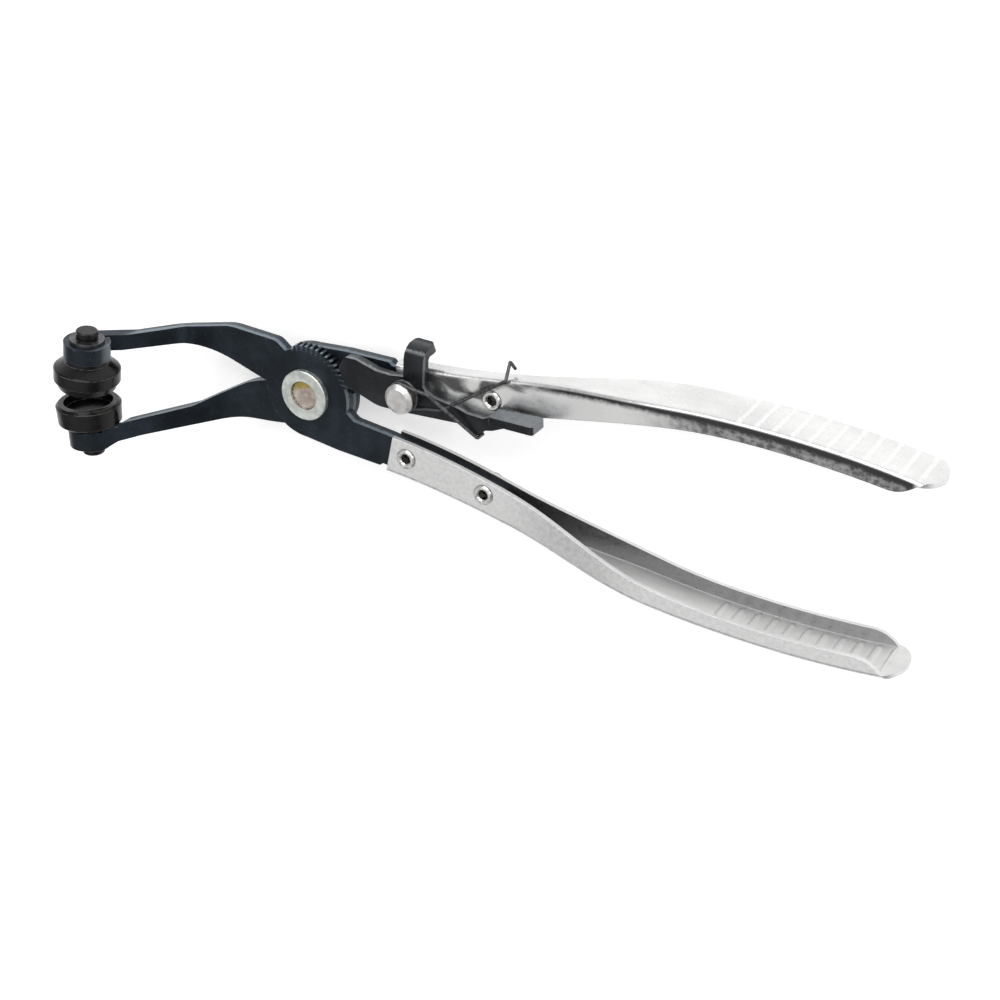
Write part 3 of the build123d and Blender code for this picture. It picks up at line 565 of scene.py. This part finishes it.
def pivot_end(name, node):
    """Upset rivet end: pinkish grey and dull, with yellow passivation left at its rim."""
    n = Nodes(name)
    x, y, _ = n.parts(n.object)
    centre = middle(node)
    radius = n.radius_from(centre)
    cloud = n.noise(2.2 * MM, 5.0, 0.6)
    fine = n.noise(0.5 * MM, 4.0, 0.6)
    colour = n.mix(n.ramp(cloud, 0.35, 0.7), (0.40, 0.33, 0.29), (0.66, 0.58, 0.52))
    toward_rim = n.add(n.times(n.minus(y, centre[1]), 0.9), n.times(x, -0.3))
    toward_rim = n.add(toward_rim, n.times(n.minus(cloud, 0.5), 3.0 * MM))
    yellow = n.mix(fine, (0.24, 0.17, 0.03), (0.62, 0.50, 0.17))
    colour = n.mix(n.ramp(toward_rim, 1.2 * MM, 2.6 * MM), colour, yellow)
    dark = n.times(n.ramp(radius, 3.7 * MM, 4.3 * MM), n.ramp(fine, 0.35, 0.6))
    colour = n.mix(n.times(dark, 0.9), colour, (0.03, 0.025, 0.02))
    rough = n.ramp(cloud, 0.3, 0.7, 0.34, 0.5)
    relief = n.bump(n.add(n.times(cloud, 1.6), n.times(fine, 0.4)), 0.12 * MM, 0.2 * MM)
    return n.finish(Base_Color=colour, Metallic=0.9, Roughness=rough, Normal=relief)


def wire_steel(name):
    """Drawn spring wire, nearly black."""
    n = Nodes(name)
    cloud = n.noise(1.5 * MM, 4.0, 0.6)
    colour = n.mix(n.ramp(cloud, 0.3, 0.7), (0.05, 0.05, 0.052), (0.13, 0.13, 0.135))
    rough = n.ramp(cloud, 0.3, 0.7, 0.30, 0.44)
    relief = n.bump(n.noise(0.3 * MM, 3.0), 0.015 * MM)
    return n.finish(Base_Color=colour, Metallic=0.8, Roughness=rough, Normal=relief)


def dress(node, material):
    for slot in nodes[node].material_slots:
        slot.material = material


def dress_all():
    dress("front_jaw_plate", black_oxide(
        "front_plate_oxide", FRONT_PLATE_MIDDLE, FRONT_PLATE_BEND, PLATE_HALF, WORN_EDGES_FROM))
    dress("back_jaw_plate", black_oxide(
        "back_plate_oxide", BACK_PLATE_MIDDLE, BACK_PLATE_BEND, PLATE_HALF, WORN_EDGES_FROM,
        edge_share=0.8))
    dress("ratchet_pawl", black_oxide("pawl_oxide", PAWL_MIDDLE, PAWL_BEND, PAWL_HALF, 0.0, blue=0.35))
    dress("upper_pad", pad_oxide("upper_pad_oxide", "upper_pad", 0.0))
    dress("lower_pad", pad_oxide("lower_pad_oxide", "lower_pad", CUP_RADIUS))
    dress("upper_handle", plated("upper_handle_plating", "upper_handle", 1))
    dress("lower_handle", plated("lower_handle_plating", "lower_handle", -1))
    dress("pivot_washer", zinc("washer_zinc", (0.55, 0.58, 0.55), (0.80, 0.83, 0.79), 0.4))
    dress("pivot_rivet", pivot_end("rivet_end", "pivot_rivet"))
    dress("pawl_pin", zinc("pin_zinc", (0.55, 0.54, 0.53), (0.75, 0.74, 0.72), 0.28))
    dress("lower_handle_rivets", tubular("lower_rivet_plating", "lower_handle_rivets", 2))
    dress("upper_handle_rivet", tubular("upper_rivet_plating", "upper_handle_rivet", 1))
    ring = wire_steel("ring_wire")
    dress("upper_pad_ring", ring)
    dress("lower_pad_ring", ring)


# Torsion spring of the pawl: one round wire, whose lever leg lies on the pawl's lever

def bent(points):
    """The points of a line with a short bend at each corner, for a NURBS spline."""
    result = [points[0]]
    for before, corner, after in zip(points, points[1:], points[2:]):
        back = (before - corner).normalized() * WIRE_BEND
        on = (after - corner).normalized() * WIRE_BEND
        result += [corner + back, corner, corner + on]
    return result + [points[-1]]


def coil_point(share):
    """On the coil, from its front turn at 0 back to the pawl at 1."""
    angle = math.radians(COIL_START_DEG + share * COIL_TURN_DEG)
    x, y = PIN[0] + COIL_RADIUS * math.cos(angle), PIN[1] + COIL_RADIUS * math.sin(angle)
    return Vector((x, y, COIL_FRONT + share * (COIL_BACK - COIL_FRONT)))


def spring_points():
    steps = round(COIL_TURN_DEG / COIL_STEP_DEG)
    coil = [coil_point(i / steps) for i in range(steps + 1)]
    start = (coil[0] - coil[1]).normalized()
    leave = (coil[-1] - coil[-2]).normalized()
    lever_x = PIN[0] + LEVER_LEG_REACH
    lever = surface("ratchet_pawl")
    lever_y = outer_y(lever, lever_x, PAWL_FRONT - 0.5 * MM, -1) - LEVER_LEG_GAP
    push = [
        Vector((lever_x, lever_y, PAWL_FRONT - LEVER_LEG_END)),
        Vector((lever_x, lever_y, PAWL_FRONT + LEVER_LEG_GAP)),
        coil[0] + start * LEVER_LEG_RUN * MM + Vector((0, 0, -LEVER_LEG_DROP)),
        coil[0] + start * OFF_COIL * MM,
    ]
    web_x = PIN[0] + WEB_LEG_REACH
    web_y = outer_y(surface("upper_handle"), web_x, middle("upper_handle")[2], 1)
    hook = [coil[-1] + leave * OFF_COIL * MM, coil[-1] + leave * WEB_LEG_RUN * MM]
    hook += [Vector((web_x + dx, web_y + dy, FLANGE_FRONT + dz)) for dx, dy, dz in HOOK_STEPS]
    return bent(push) + coil + bent(hook)


def make_spring():
    curve = bpy.data.curves.new("torsion_spring", "CURVE")
    curve.dimensions = "3D"
    curve.bevel_depth = WIRE / 2
    curve.bevel_resolution = 4
    curve.use_fill_caps = True
    curve.resolution_u = 4
    points = spring_points()
    spline = curve.splines.new("NURBS")
    spline.points.add(len(points) - 1)
    for point, place in zip(spline.points, points):
        point.co = (*place, 1)
    spline.order_u = 3
    spline.use_endpoint_u = True
    draft = bpy.data.objects.new("torsion_spring_line", curve)
    bpy.context.collection.objects.link(draft)
    mesh = bpy.data.meshes.new_from_object(draft)
    bpy.data.objects.remove(draft)
    mesh.materials.clear()
    mesh.materials.append(wire_steel("spring_wire"))
    for polygon in mesh.polygons:
        polygon.use_smooth = True
    spring = bpy.data.objects.new("torsion_spring", mesh)
    bpy.context.collection.objects.link(spring)
    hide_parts("pawl_spring")
    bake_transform(spring)


# Floor, world and lamps

def make_floor():
    """Pale paper, white to the camera and in reflections, that keeps the object's shadow."""
    low = cad_box[0][2] - FLOOR_GAP
    corners = [(a * FLOOR_HALF, b * FLOOR_HALF, low) for a, b in ((-1, -1), (1, -1), (1, 1), (-1, 1))]
    mesh = bpy.data.meshes.new("floor")
    mesh.from_pydata(corners, [], [(0, 1, 2, 3)])
    floor = bpy.data.objects.new("floor", mesh)
    bpy.context.collection.objects.link(floor)
    n = Nodes("floor_paper")
    mesh.materials.append(n.finish(
        Base_Color=(0.8, 0.8, 0.8, 1),
        Roughness=1.0,
        Specular_IOR_Level=0.0,
        Emission_Color=WHITE,
        Emission_Strength=n.times(n.math("MAXIMUM", *light_rays(n.tree)), FLOOR_LIFT),
    ))


def make_world():
    """Light that is bright above and dim at the sides. It is white to the camera, and near the horizon
    in reflections too."""
    world = bpy.data.worlds.new("studio")
    bpy.context.scene.world = world
    world.use_nodes = True
    tree = world.node_tree
    coords = tree.nodes.new("ShaderNodeTexCoord")
    parts = tree.nodes.new("ShaderNodeSeparateXYZ")
    tree.links.new(coords.outputs["Generated"], parts.inputs[0])
    up = parts.outputs[2]
    sky = map_range(tree, up, DIM_BELOW, BRIGHT_ABOVE, DIM_SKY, BRIGHT_SKY)
    low_sky = map_range(tree, up, MIRRORED_SKY_ABOVE, MIRRORED_WHITE_BELOW, 0.0, 1.0)
    camera_ray, mirrored = light_rays(tree)
    white = math_node(tree, "MAXIMUM", camera_ray, math_node(tree, "MULTIPLY", mirrored, low_sky))
    background = tree.nodes["Background"]
    background.inputs["Color"].default_value = WHITE
    put(tree, background.inputs["Strength"], math_node(tree, "MAXIMUM", sky, white))


def make_lamp(name, place, target, width, height, watts):
    data = bpy.data.lights.new(name, "AREA")
    data.shape = "RECTANGLE"
    data.size = width
    data.size_y = height
    data.energy = watts
    lamp = bpy.data.objects.new(name, data)
    bpy.context.collection.objects.link(lamp)
    lamp.location = place
    lamp.rotation_euler = (Vector(target) - Vector(place)).to_track_quat("-Z", "Y").to_euler()


make_camera()
dress_all()
make_spring()
make_floor()
make_world()
for lamp_values in LAMPS:
    make_lamp(*lamp_values)

bpy.context.scene.view_settings.view_transform = "Standard"
